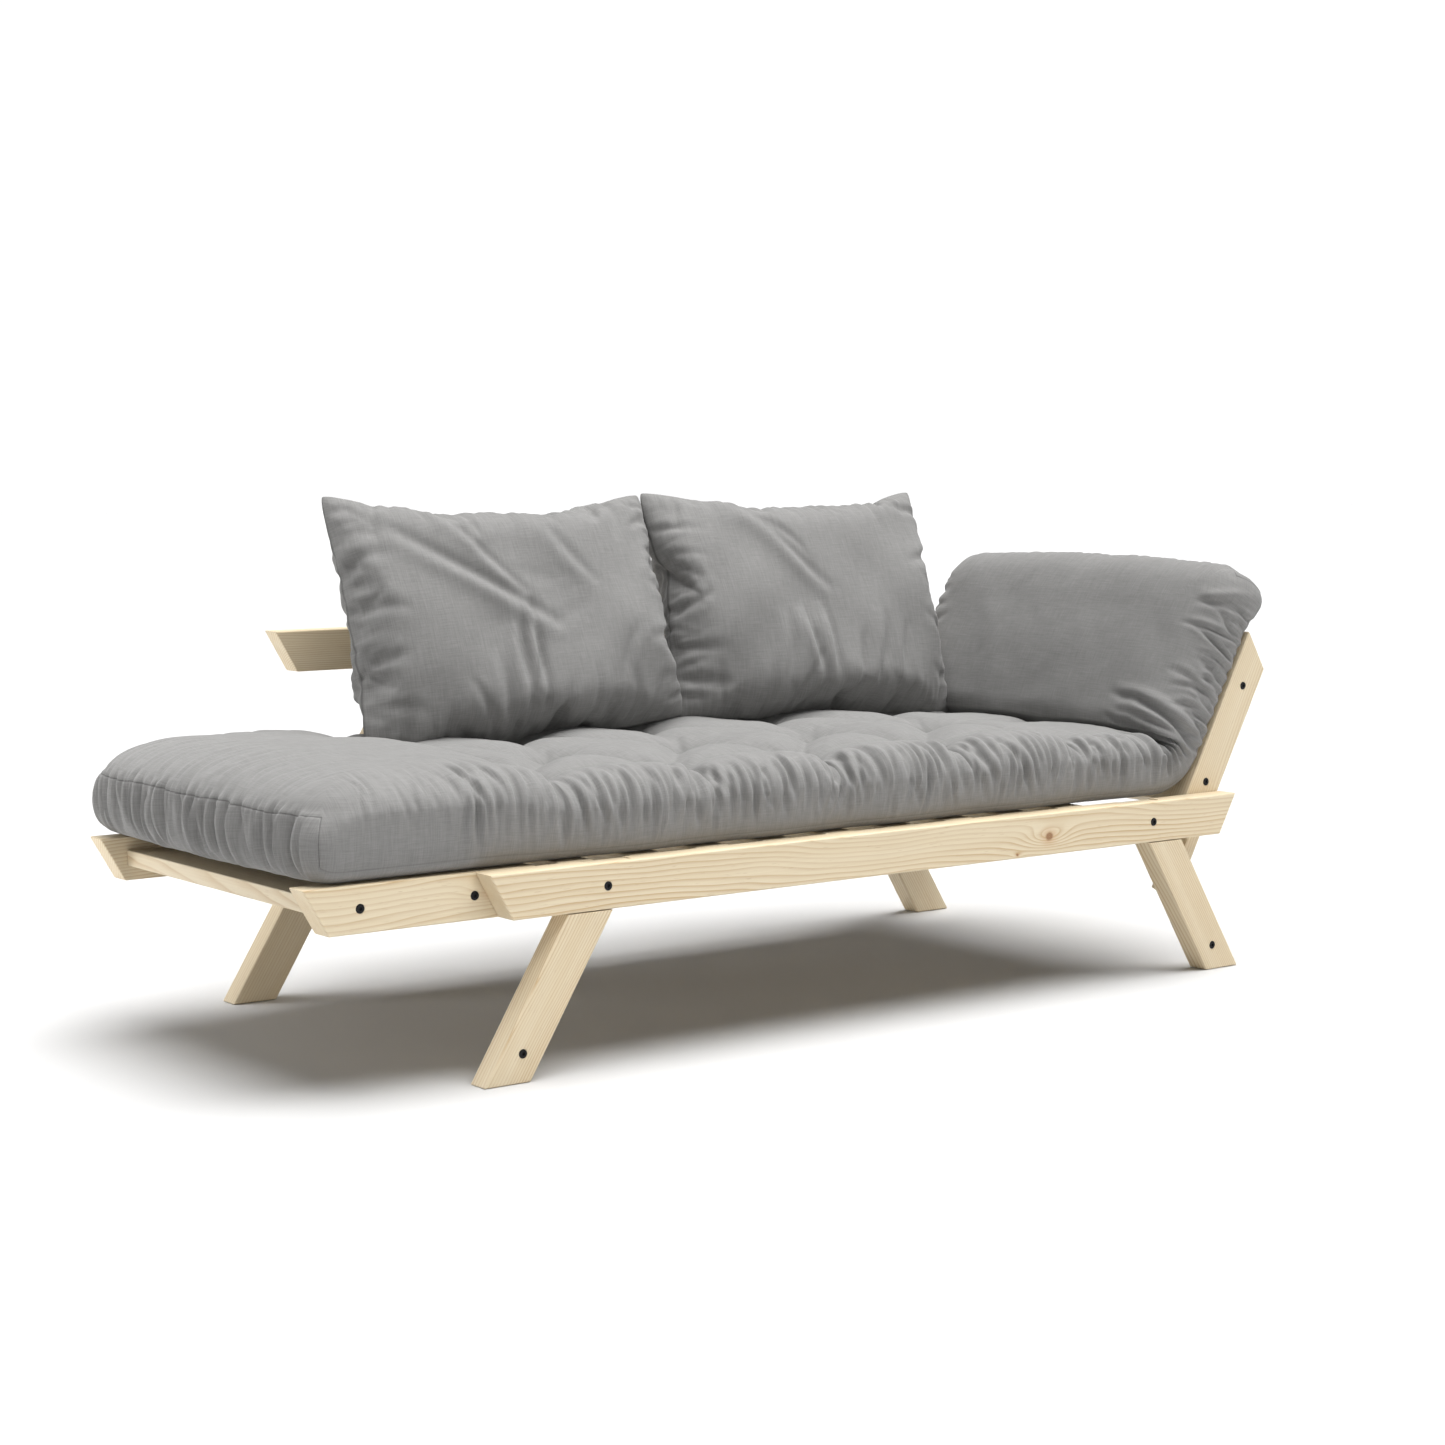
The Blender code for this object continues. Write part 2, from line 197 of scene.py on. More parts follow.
def pine(name, along, across, seed, knots=(), ring=0.0038, pith=None, tone=1.0):
    """Clear-lacquered pine. along = grain direction, across = one direction across the board.
    Growth rings are cylinders about a pith line beside the board, wavy along the grain, so faces show
    straight or cathedral grain and cut ends show arcs. knots = [(point in metres, radius)]."""
    rng = np.random.default_rng(seed)
    m = Nodes(name)
    l = Vector(along).normalized()
    u = Vector(across)
    u = (u - u.dot(l) * l).normalized()
    v = l.cross(u)
    p = m.coords("Object")
    L = m.vmath("DOT_PRODUCT", p, tuple(l))
    U = m.vmath("DOT_PRODUCT", p, tuple(u))
    V = m.vmath("DOT_PRODUCT", p, tuple(v))
    if pith is None:
        ang = rng.uniform(0, 2 * math.pi)
        d = rng.uniform(0.05, 0.11)
        pith = (d * math.cos(ang), d * math.sin(ang))
    off = rng.uniform(-30, 30, 3)
    Ls = m.math("ADD", L, float(off[0]))
    q = m.comb(Ls, U, V)
    # slow wander of the rings along the board
    w1 = m.noise(m.vmath("MULTIPLY", q, (1.9, 9.0, 9.0)), 1.0, 1.5, 0.45)
    w2 = m.noise(m.vmath("MULTIPLY", q, (7.0, 42.0, 42.0)), 1.0, 1.0, 0.5)
    r = m.vmath("LENGTH", m.comb(m.math("ADD", U, -pith[0]), m.math("ADD", V, -pith[1]), 0.0))
    r = m.math("ADD", r, m.math("MULTIPLY", m.math("SUBTRACT", w1, 0.5), 0.030))
    r = m.math("ADD", r, m.math("MULTIPLY", m.math("SUBTRACT", w2, 0.5), 0.0036))
    r = m.math("ADD", r, m.math("MULTIPLY", L, float(rng.uniform(-0.014, 0.014))))
    knot_mask = None
    knot_core = None
    for pt, rad in knots:
        k = Vector(pt)
        kl, ku, kv = k.dot(l), k.dot(u), k.dot(v)
        dl = m.math("DIVIDE", m.math("ADD", L, -kl), 1.25)
        du = m.math("ADD", U, -ku)
        dv = m.math("ADD", V, -kv)
        wob = m.noise(m.vmath("MULTIPLY", q, (70, 90, 90)), 1.0, 2.0, 0.5)
        dist = m.vmath("LENGTH", m.comb(dl, m.math("MULTIPLY", du, 0.3), dv))
        dist = m.math("ADD", dist, m.math("MULTIPLY", m.math("SUBTRACT", wob, 0.5), 0.004))
        # grain flows round the knot: the ring coordinate swells near it
        far = m.vmath("LENGTH", m.comb(m.math("MULTIPLY", dl, 0.42), m.math("MULTIPLY", du, 0.3), dv))
        g = m.math("EXPONENT", m.math("MULTIPLY", m.math("POWER", m.math("DIVIDE", far, rad * 1.9), 2.0), -1.0))
        r = m.math("ADD", r, m.math("MULTIPLY", g, rad * 1.5))
        core = m.remap(dist, rad * 0.15, rad * 1.05, 1.0, 0.0)
        halo = m.remap(dist, rad * 0.8, rad * 2.6, 1.0, 0.0)
        knot_core = core if knot_core is None else m.math("MAXIMUM", knot_core, core)
        knot_mask = halo if knot_mask is None else m.math("MAXIMUM", knot_mask, halo)
    bands = m.math("FRACT", m.math("DIVIDE", r, ring))
    # late wood: rises slowly through the season, then stops sharply
    late = m.ramp(bands, [(0.0, (0.10,) * 3), (0.08, (0.0,) * 3), (0.45, (0.10,) * 3), (0.78, (0.62,) * 3), (0.9, (1.0,) * 3), (1.0, (0.12,) * 3)])
    strength = m.remap(m.noise(m.vmath("MULTIPLY", q, (1.3, 25.0, 25.0)), 1.0, 1.0), 0.3, 0.7, 0.30, 1.0)
    late = m.math("MULTIPLY", late, strength)
    fibre = m.noise(m.vmath("MULTIPLY", q, (6.0, 620.0, 620.0)), 1.0, 3.0, 0.6)
    streak = m.noise(m.vmath("MULTIPLY", q, (2.2, 70.0, 70.0)), 1.0, 2.0, 0.5)
    light = tuple(tone * c for c in (0.765, 0.668, 0.490))
    mid = tuple(tone * c for c in (0.705, 0.585, 0.395))
    dark = tuple(tone * c for c in (0.520, 0.345, 0.165))
    col = m.mix(m.remap(streak, 0.30, 0.70, 0.0, 0.55), light, mid)
    col = m.mix(m.math("MULTIPLY", late, 0.95), col, dark)
    col = m.mix(m.remap(fibre, 0.35, 0.75, 0.0, 0.16), col, (0.46 * tone, 0.32 * tone, 0.17 * tone))
    # short darker resin flecks lying along the grain
    fleck = m.noise(m.vmath("MULTIPLY", q, (45.0, 900.0, 900.0)), 1.0, 1.0, 0.4)
    col = m.mix(m.remap(fleck, 0.70, 0.78, 0.0, 0.35), col, (0.42, 0.25, 0.12))
    rough = m.remap(m.math("ADD", m.math("MULTIPLY", late, -0.4), fibre), 0.0, 1.0, 0.56, 0.40)
    if knot_mask is not None:
        rings = m.math("FRACT", m.math("MULTIPLY", knot_core, 3.2))
        kcol = m.mix(rings, (0.36, 0.19, 0.085), (0.22, 0.105, 0.045))
        col = m.mix(m.math("MULTIPLY", m.math("POWER", knot_mask, 1.6), 0.55), col, (0.55, 0.31, 0.14))
        col = m.mix(m.remap(knot_core, 0.12, 0.5, 0.0, 0.9), col, kcol)
    m.link(col, m.bsdf.inputs["Base Color"])
    m.link(rough, m.bsdf.inputs["Roughness"])
    m.bsdf.inputs["Specular IOR Level"].default_value = 0.42
    h = m.math("ADD", m.math("MULTIPLY", late, 0.6), m.math("MULTIPLY", fibre, 0.5))
    m.link(m.bump(h, 0.00022, 0.55), m.bsdf.inputs["Normal"])
    return m.mat


def black_metal(name):
    m = Nodes(name)
    p = m.coords("Object")
    n = m.noise(p, 900.0, 3.0, 0.6)
    m.link(m.ramp(n, [(0.3, (0.010, 0.010, 0.011)), (0.7, (0.022, 0.022, 0.024))]), m.bsdf.inputs["Base Color"])
    m.bsdf.inputs["Metallic"].default_value = 0.75
    m.link(m.remap(m.noise(p, 260.0, 2.0), 0.3, 0.7, 0.34, 0.52), m.bsdf.inputs["Roughness"])
    m.link(m.bump(n, 0.00008, 0.4), m.bsdf.inputs["Normal"])
    return m.mat


def steel(name):
    m = Nodes(name)
    p = m.coords("Object")
    n = m.noise(m.vmath("MULTIPLY", p, (900.0, 60.0, 900.0)), 1.0, 3.0, 0.6)
    m.link(m.ramp(n, [(0.3, (0.42, 0.42, 0.43)), (0.7, (0.58, 0.58, 0.59))]), m.bsdf.inputs["Base Color"])
    m.bsdf.inputs["Metallic"].default_value = 1.0
    m.link(m.remap(n, 0.3, 0.7, 0.28, 0.42), m.bsdf.inputs["Roughness"])
    return m.mat


def fabric(name, uv_name, paint_seam_shade=True, tone=1.0):
    """Grey plain weave with slubs. The UV map holds the cloth's own coordinates in metres."""
    m = Nodes(name)
    uv = m.uv(uv_name)
    x, y, _ = m.sep(uv)
    warp = m.noise(m.comb(m.math("MULTIPLY", x, 760.0), m.math("MULTIPLY", y, 26.0), 3.7), 1.0, 2.0, 0.55)
    weft = m.noise(m.comb(m.math("MULTIPLY", x, 26.0), m.math("MULTIPLY", y, 760.0), 9.1), 1.0, 2.0, 0.55)
    warp2 = m.noise(m.comb(m.math("MULTIPLY", x, 1500.0), m.math("MULTIPLY", y, 70.0), 1.7), 1.0, 1.0, 0.5)
    weft2 = m.noise(m.comb(m.math("MULTIPLY", x, 70.0), m.math("MULTIPLY", y, 1500.0), 5.1), 1.0, 1.0, 0.5)
    cloud = m.noise(m.comb(x, y, 0.0), 7.0, 3.0, 0.5)
    s = m.math("ADD", warp, weft)
    f = m.math("ADD", warp2, weft2)
    s = m.math("ADD", m.math("MULTIPLY", s, 0.62), m.math("MULTIPLY", f, 0.30))
    s = m.math("ADD", s, m.math("MULTIPLY", cloud, 0.10))
    g0, g1, g2 = 0.186 * tone, 0.222 * tone, 0.262 * tone
    col = m.ramp(
        m.remap(s, 0.72, 1.22, 0.0, 1.0),
        [(0.0, (g0 * 1.010, g0 * 0.997, g0 * 0.972)), (0.5, (g1 * 1.010, g1 * 0.997, g1 * 0.972)), (1.0, (g2 * 1.010, g2 * 0.997, g2 * 0.972))],
    )
    if paint_seam_shade:
        # painted shade: the weave is darkened along the sewn seams, standing in for the shade inside their grooves
        a = m.attr("seam_shade")
        col = m.mix(m.remap(a, 0.25, 1.0, 0.0, 0.62), col, (0.045, 0.044, 0.042))
    m.link(col, m.bsdf.inputs["Base Color"])
    m.link(m.remap(s, 0.72, 1.22, 0.92, 0.80), m.bsdf.inputs["Roughness"])
    m.bsdf.inputs["Specular IOR Level"].default_value = 0.18
    m.bsdf.inputs["Sheen Weight"].default_value = 0.12
    m.bsdf.inputs["Sheen Roughness"].default_value = 0.45
    m.bsdf.inputs["Sheen Tint"].default_value = (0.9, 0.9, 0.9, 1.0)
    # plain weave: over-under threads 1.1 mm apart
    tx = m.math("SINE", m.math("MULTIPLY", x, 2 * math.pi / 0.0022))
    ty = m.math("SINE", m.math("MULTIPLY", y, 2 * math.pi / 0.0022))
    weave = m.math("MULTIPLY", tx, ty)
    h = m.math("ADD", m.math("MULTIPLY", weave, 0.25), m.math("MULTIPLY", s, 0.8))
    m.link(m.bump(h, 0.00035, 0.6), m.bsdf.inputs["Normal"])
    return m.mat


# ------------------------------------------------------- wood, bolts and pins

R61 = math.radians(61)
X, Y, Z = (1, 0, 0), (0, 1, 0), (0, 0, 1)
RAISED = (math.cos(R61), 0, math.sin(R61))


def knot(x, y, z, rad):
    return (tuple(row((x, y, z))), rad)


KNOTS = {
    "front_rail": [knot(322, 0, 268, 0.0085), knot(250, 0, 244, 0.0022)],
    "left_end_board_front": [knot(-742, 14, 279, 0.0095), knot(-846, 14, 263, 0.0022)],
    "backrest_rail": [knot(-640, 720, 566, 0.0085)],
    "front_leg_left": [knot(-560, 20, 60, 0.003)],
    "rear_rail": [knot(-150, 757, 270, 0.0075)],
}


def leg_direction(name):
    """The leg's own direction: from its box and its slant in X."""
    lo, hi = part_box(name)
    co = np.array([v.co for v in NODES[name].data.vertices], float)
    low = co[co[:, 2] < lo.z + 0.02]
    top = co[co[:, 2] > hi.z - 0.02]
    d = top.mean(0) - low.mean(0)
    return tuple(d / np.linalg.norm(d))


def paint(node, mat):
    o = NODES[node]
    o.data.materials.clear()
    o.data.materials.append(mat)


for i, name in enumerate(sorted(NODES)):
    if name.startswith(("futon", "back_pillow")):
        continue
    if "bolt" in name or "screw" in name:
        paint(name, black_metal("black_" + name))
    elif "pin" in name:
        paint(name, steel("steel_" + name))
    else:
        if "leg" in name:
            along, across = leg_direction(name), Y
        elif "slat" in name and "ledger" not in name or "bar" in name:
            along, across = Y, X
        elif name.startswith("right_end_board"):
            along, across = RAISED, Y
        else:
            along, across = X, Y
        paint(name, pine("pine_" + name, along, across, 100 + i, KNOTS.get(name, ())))
    for poly in NODES[name].data.polygons:
        poly.material_index = 0

# ------------------------------------------------------------------- the futon

ZB = 307.0  # underside, resting on the slats
COS, SIN = math.cos(R61), math.sin(R61)
BEND_R = 116.0  # radius of the underside where the futon turns up
A0 = 692.7 - BEND_R * math.tan(R61 / 2)  # the turn starts here
A1 = A0 + BEND_R * R61  # and ends here, along the underside
S1 = 21.4 + BEND_R * math.tan(R61 / 2)  # that point's distance from the hinge along the board
A_LEFT = -1033.0
A_RIGHT = A1 + (423.0 - S1)
B_FRONT, B_REAR = 34.0, 757.0

TUFT1 = [(-607 + 262 * k, 150.0) for k in range(5)]
TUFT2 = [(-441 + 267 * k, 348.0) for k in range(4)]
TUFT3 = [(-632 + 262 * k, 560.0) for k in range(5)]
A_CREASE = (A0 + A1) / 2


def seg_dist(a, b, p, q):
    """Distance of points to the segment p-q, and the place along it, 0 to 1."""
    d = np.array([q[0] - p[0], q[1] - p[1]], float)
    t = np.clip(((a - p[0]) * d[0] + (b - p[1]) * d[1]) / (d @ d), 0, 1)
    return np.hypot(a - p[0] - t * d[0], b - p[1] - t * d[1]), t


def crown(a, b):
    """Height of the futon's top over its underside."""
    h = np.full_like(a, 133.0)
    h += 17.0 * smooth((-520 - a) / 190)  # the untufted left end is plumper
    h += 7.0 * np.exp(-(((b - 400) / 170) ** 2)) * smooth((-600 - a) / 120)
    s = a - A1 + S1
    h -= 4.0 * smooth((a - A1 + 20) / 60)  # the raised end is a little thinner
    h += 16.0 * np.exp(-(((s - 235) / 115) ** 2)) * np.exp(-(((b - 400) / 280) ** 2)) * (a > A0)
    h -= 18.0 * smooth((a - 390) / 150) * (1 - smooth((a - A_CREASE) / 60))
    v4 = np.zeros_like(a)

    def add(x):
        nonlocal v4
        v4 += np.maximum(x, 0) ** 3

    for k, (x, y) in enumerate(TUFT1):
        r = np.hypot(a - x, b - y)
        add(47 * np.exp(-((r / 47) ** 1.2)))
        d, t = seg_dist(a, b, (x, y), (x + (8 if k % 2 else -7), B_FRONT - 10))
        add((40 - 16 * t) * np.exp(-((d / (22 + 14 * t)) ** 1.3)))
    for x, y in TUFT2:
        r = np.hypot(a - x, b - y)
        add(46 * np.exp(-((r / 48) ** 1.2)))
    for x, y in TUFT3:
        r = np.hypot(a - x, b - y)
        add((48 if x < -600 else 32) * np.exp(-((r / 48) ** 1.2)))
        d, t = seg_dist(a, b, (x, y), (x - 5, B_REAR + 10))
        add((24 - 6 * t) * np.exp(-((d / (22 + 12 * t)) ** 1.4)))
    links = []
    for k in range(4):
        links += [(TUFT1[k], TUFT2[k], 30), (TUFT1[k + 1], TUFT2[k], 30)]
        links += [(TUFT3[k], TUFT2[k], 21), (TUFT3[k + 1], TUFT2[k], 21)]
        links += [(TUFT1[k], TUFT1[k + 1], 20)]
    links += [(TUFT1[0], TUFT3[0], 26), (TUFT3[0], (TUFT3[0][0] - 12, 700), 30), (TUFT1[4], (A_CREASE, 60), 12), (TUFT2[3], (A_CREASE - 30, 345), 18), (TUFT3[4], (A_CREASE - 30, 560), 18)]
    for p, q, depth in links:
        d, t = seg_dist(a, b, p, q)
        add(depth * (1 - 0.3 * np.sin(math.pi * t)) * np.exp(-((d / 31) ** 1.3)))
    # the fold where the right end stands up, deepest at tufts along it
    fold = 24 + 6 * np.cos((b - 330) / 112 * math.pi)
    add((fold + 4) * np.exp(-(np.abs((a - A_CREASE) / 66) ** 4)))
    h -= v4 ** (1 / 3)
    return h


def creases(axis, u, items):
    """Sum of narrow folds. axis: position across the folds; u: position along them.
    Each item: centre, lean, curve, low end, high end, width, depth."""
    out = np.zeros_like(axis)
    for c, lean, curve, u0, u1, w, d in items:
        mid, half = (u0 + u1) / 2, (u1 - u0) / 2
        near = (np.abs(axis - c) < 40 + 6 * w) & (np.abs(u - mid) < half)
        if not near.any():
            continue
        x, t = axis[near], (u[near] - mid) / half
        env = (1 - t * t) ** 1.4
        x = x - (c + lean * (u[near] - mid) + curve * t * t)
        out[near] += d * env * (-np.exp(-((x / w) ** 2)) + 0.55 * np.exp(-(((x - 1.9 * w) / (1.5 * w)) ** 2)) + 0.35 * np.exp(-(((x + 1.9 * w) / (1.6 * w)) ** 2)))
    return out


def ridge_noise(x, u, seed, n, span, u_range, widths, depths, lean=0.15, curve=6.0):
    """n random folds between span[0] and span[1]."""
    rng = np.random.default_rng(seed)
    items = []
    for k in range(n):
        c = span[0] + (span[1] - span[0]) * (k + rng.uniform(0.1, 0.9)) / n
        length = rng.uniform(*u_range[2])
        mid = rng.uniform(u_range[0], u_range[1])
        items.append((c, rng.normal(0, lean), rng.normal(0, curve), mid - length / 2, mid + length / 2, rng.uniform(*widths), rng.uniform(*depths)))
    return creases(x, u, items)


def futon():
    def lines(lo, hi, step):
        n = int(round((hi - lo - 8) / step))
        return np.concatenate([[lo, lo + 1.6], np.linspace(lo + 4, hi - 4, n + 1), [hi - 1.6, hi]])

    al = lines(A_LEFT, A_RIGHT, 3.1)
    bl = lines(B_FRONT, B_REAR, 4.8)
    seam_v = 0.14
    hl = np.linspace(-1, 1, 27)
    hl = hl[np.abs(hl - seam_v) > 0.055]
    hl = np.sort(np.concatenate([hl, [seam_v - 0.028, seam_v, seam_v + 0.028]]))
    na, nb, nh = len(al) - 1, len(bl) - 1, len(hl) - 1
    index = np.full((na + 1, nb + 1, nh + 1), -1, np.int64)
    shell = np.zeros(index.shape, bool)
    shell[[0, -1]] = True
    shell[:, [0, -1]] = True
    shell[:, :, [0, -1]] = True
    ii, jj, kk = np.nonzero(shell)
    index[ii, jj, kk] = np.arange(len(ii))
    quads, which = [], []

    def face(s, flip):
        f = np.stack([s[:-1, :-1], s[1:, :-1], s[1:, 1:], s[:-1, 1:]], -1).reshape(-1, 4)
        quads.append(f[:, ::-1] if flip else f)

    face(index[:, :, -1], False)  # top
    face(index[:, :, 0], True)  # bottom
    face(index[:, 0, :], False)  # front
    face(index[:, -1, :], True)  # rear
    face(index[0, :, :], True)  # left end
    face(index[-1, :, :], False)  # right end
    quads = np.concatenate(quads)

    a, b, vz = al[ii], bl[jj], hl[kk]
    up = smooth((vz + 0.35) / 0.7)
    r_left, r_right = 58 + 92 * up, 58 + 40 * up
    r_front, r_rear = 50 + 34 * up, 62 + 43 * up
    # over the untufted left end the front and rear shoulders are rounder
    plump = smooth((-600 - a) / 200)
    r_front, r_rear = r_front + 52 * up * plump, r_rear + 35 * up * plump
    vx = np.where(a < A_LEFT + r_left, (a - A_LEFT - r_left) / r_left, np.where(a > A_RIGHT - r_right, (a - A_RIGHT + r_right) / r_right, 0))
    vy = np.where(b < B_FRONT + r_front, (b - B_FRONT - r_front) / r_front, np.where(b > B_REAR - r_rear, (b - B_REAR + r_rear) / r_rear, 0))
    rx, ry = np.where(vx < 0, r_left, r_right), np.where(vy < 0, r_front, r_rear)
    kx = 3.6
    rho = (np.abs(vx) ** kx + np.abs(vy) ** kx) ** (1 / kx)
    n = 3.6 - 1.35 * up
    big = (rho**n + np.abs(vz) ** n) ** (1 / n)
    big = np.maximum(big, 1e-9)
    sx, sy, sz = vx / big, vy / big, vz / big
    pa = np.where(vx < 0, A_LEFT + rx, np.where(vx > 0, A_RIGHT - rx, a)) + rx * sx
    pb = np.where(vy < 0, B_FRONT + ry, np.where(vy > 0, B_REAR - ry, b)) + ry * sy

    # place along the section: 0 at the widest line, growing over the shoulder
    phi = np.arctan2(vz, np.maximum(rho, 1e-9))
    inner = np.minimum(np.minimum((pa - A_LEFT) - rx, (A_RIGHT - pa) - rx), np.minimum((pb - B_FRONT) - ry, (B_REAR - pb) - ry))
    u = phi * 95 + np.sign(vz) * np.maximum(inner, 0)
    side = 1 - smooth((np.abs(u) - 95) / 70)  # 1 on the side walls, 0 well in from the edge
    # how much each point belongs to each of the four walls
    w4 = np.stack([1 / (np.maximum(d_, 0) + 9.0) ** 4 for d_ in (pb - B_FRONT, B_REAR - pb, pa - A_LEFT, A_RIGHT - pa)])
    wf, wr, wl, wright = w4 / w4.sum(0)
    front, rear = (np.abs(vy) >= np.abs(vx)) & (vy < 0), (np.abs(vy) >= np.abs(vx)) & (vy > 0)
    left, right = (np.abs(vx) > np.abs(vy)) & (vx < 0), (np.abs(vx) > np.abs(vy)) & (vx > 0)

    H = crown(pa, pb)
    s_board = pa - A1 + S1
    hb = -25.0 * smooth((s_board - 326) / 85) * (pa > A1)
    hc = 66.0 + 22.0 * smooth((-560 - pa) / 200)  # height of the widest line
    ph = np.where(sz >= 0, hc + (H - hc) * sz, hc + (hc - hb) * sz)
    # the long side swells between tufts and is drawn in below each of them
    wave = 0.5 + 0.5 * np.cos((pa - (TUFT1[0][0] + 131)) / 262 * 2 * math.pi)
    in_seat = smooth((pa + 700) / 90) * (1 - smooth((pa - 640) / 60))
    out = wf * side * (7.0 * wave - 2.0) * in_seat
    valley = np.zeros_like(pa)
    for k, (x, _) in enumerate(TUFT1):
        valley += np.exp(-(np.abs(pa - x - (8 if k % 2 else -7)) / 26) ** 1.6)
    out = out - wf * valley * 10.0 * np.exp(-(((u - 70) / 70) ** 2))
    valley = np.zeros_like(pa)
    for x, _ in TUFT3:
        valley += np.exp(-(np.abs(pa - x) / 22) ** 1.5)
    out = out - wr * valley * 8.0 * np.exp(-(((u - 70) / 60) ** 2))
    # the ends belly outward, and the left end also fills the room behind the rear rail
    mid_b = np.clip((pb - B_FRONT) / (B_REAR - B_FRONT), 0, 1)
    belly = np.sin(math.pi * mid_b) ** 0.7 * side
    out = out + wr * side * 24 * smooth((-640 - pa) / 60)
    pb = pb + (wr - wf) * out
    pa = pa + (wright * 14 - wl * 12) * belly

    # position in the side view: along the underside curve, and up its normal
    th = np.clip((pa - A0) / BEND_R, 0, R61)
    bx = np.where(pa <= A0, pa, A0 + BEND_R * np.sin(th))
    bz = np.where(pa <= A0, ZB, ZB + BEND_R * (1 - np.cos(th)))
    over = np.maximum(pa - A1, 0)
    bx, bz = bx + over * COS, bz + over * SIN
    P = np.stack([bx - ph * np.sin(th), pb, bz + ph * np.cos(th)], 1)

    def normals(P):
        f = quads
        d1, d2 = P[f[:, 2]] - P[f[:, 0]], P[f[:, 3]] - P[f[:, 1]]
        c = np.cross(d1, d2)
        out = np.zeros_like(P)
        for k in range(4):
            for ax in range(3):
                out[:, ax] += np.bincount(f[:, k], c[:, ax], len(P))
        return out / np.maximum(np.linalg.norm(out, axis=1, keepdims=True), 1e-12)

    # ---- folds
    D = np.zeros(len(P))

    def lay(mask, weight, axis, fn):
        x, uu = axis[mask], u[mask]
        D[mask] += weight[mask] * fn(x, uu)

    m = (wf > 0.02) & (pb < B_FRONT + 230)
    rng = np.random.default_rng(5)
    fan = []
    for k, (tx, _) in enumerate(TUFT1):
        for side_ in (-1, 1):
            for q in range(4):
                off = side_ * (14 + 18 * q + rng.uniform(-3, 3))
                fan.append((tx + off * 0.55, -off * 0.0042 + rng.uniform(-0.02, 0.02), side_ * rng.uniform(2, 7), rng.uniform(-70, -20), rng.uniform(120, 150), rng.uniform(4.4, 6.8), rng.uniform(3.5, 6.0) * (1 - 0.11 * q)))
    # squeezed folds in the inner corner of the turn
    turn = [(A0 - 6 + 14 * q + rng.uniform(-4, 4), (q - 6) * 0.035 + rng.uniform(-0.06, 0.06), rng.uniform(-5, 5), -50 + rng.uniform(-10, 35), 165 + rng.uniform(-30, 40), rng.uniform(4.2, 7), rng.uniform(5.5, 10.5)) for q in range(13)]

    def front_folds(x, uu):
        part = ridge_noise(x, uu, 11, 118, (-800, 655), (8, 50, (120, 210)), (3.4, 6.0), (2.2, 7.0), 0.09, 7)
        part += 0.45 * ridge_noise(x, uu, 16, 20, (-960, -790), (30, 70, (80, 150)), (3.0, 5.6), (1.6, 4.4), 0.13, 8)
        part += ridge_noise(x, uu, 12, 34, (-780, 645), (25, 60, (150, 230)), (5.5, 9.5), (3.5, 7.5), 0.12, 10)
        part += ridge_noise(x, uu, 13, 60, (-900, 660), (-30, 20, (50, 90)), (4, 8), (0.5, 1.5), 0.1, 4)
        part += creases(x, uu, fan) + creases(x, uu, turn)
        part += ridge_noise(x, uu, 21, 20, (A1 + 4, A_RIGHT - 45), (-30, 20, (120, 200)), (4.0, 7.0), (3.0, 7.0), 0.16, 10)
        part += ridge_noise(x, uu, 22, 24, (A1 + 4, A_RIGHT - 60), (-60, -10, (70, 120)), (3.4, 5.5), (2.0, 5.0), 0.12, 5)
        return 8.0 * np.tanh(1.25 * part / 8.0)

    lay(m, wf, pa, front_folds)
    m = (wr > 0.02) & (pb > B_REAR - 230)
    lay(m, wr, pa, lambda x, uu: ridge_noise(x, uu, 14, 105, (-960, 1040), (20, 60, (70, 150)), (4, 8), (0.9, 3.4), 0.12, 6) + ridge_noise(x, uu, 15, 30, (-860, 1000), (40, 70, (110, 190)), (6.5, 11.0), (2.2, 5.0), 0.14, 8))
    m = (wl > 0.02) & (pa < A_LEFT + 330)
    lay(m, wl, pb, lambda x, uu: 1.2 * ridge_noise(x, uu, 31, 46, (60, 740), (-36, -16, (110, 150)), (4.0, 6.4), (4.5, 9.5), 0.06, 6) + ridge_noise(x, uu, 32, 15, (90, 560), (-44, -28, (120, 140)), (6.5, 10), (6.0, 12.0), 0.08, 8) + ridge_noise(x, uu, 33, 30, (90, 720), (60, 120, (80, 280)), (4.0, 8), (0.8, 2.4), 0.25, 12))
    m = (wright > 0.02) & (pa > A_RIGHT - 230)
    lay(m, wright, pb, lambda x, uu: ridge_noise(x, uu, 34, 46, (60, 735), (-30, 30, (90, 200)), (4.5, 8), (0.9, 3.2), 0.12, 6))

    # creases radiating from each tuft across the top
    top = vz > 0.2
    ta, tb = pa[top], pb[top]
    acc = np.zeros(top.sum())
    rng = np.random.default_rng(8)
    for x, y in TUFT1 + TUFT2 + TUFT3:
        ang = np.arctan2(tb - y, ta - x)
        r = np.hypot(ta - x, tb - y)
        lobes = np.zeros_like(r)
        for q in range(7):
            c = q * 2 * math.pi / 7 + rng.uniform(-0.35, 0.35)
            d = np.angle(np.exp(1j * (ang - c)))
            lobes -= rng.uniform(2.2, 5.0) * np.exp(-((d * np.maximum(r, 14) / rng.uniform(5, 8)) ** 2))
        reach = 40
        acc += lobes * np.exp(-(((r - reach) / 32) ** 2)) * smooth((tb - 95) / 40)
    D[top] += 4.5 * np.tanh(acc / 4.5)
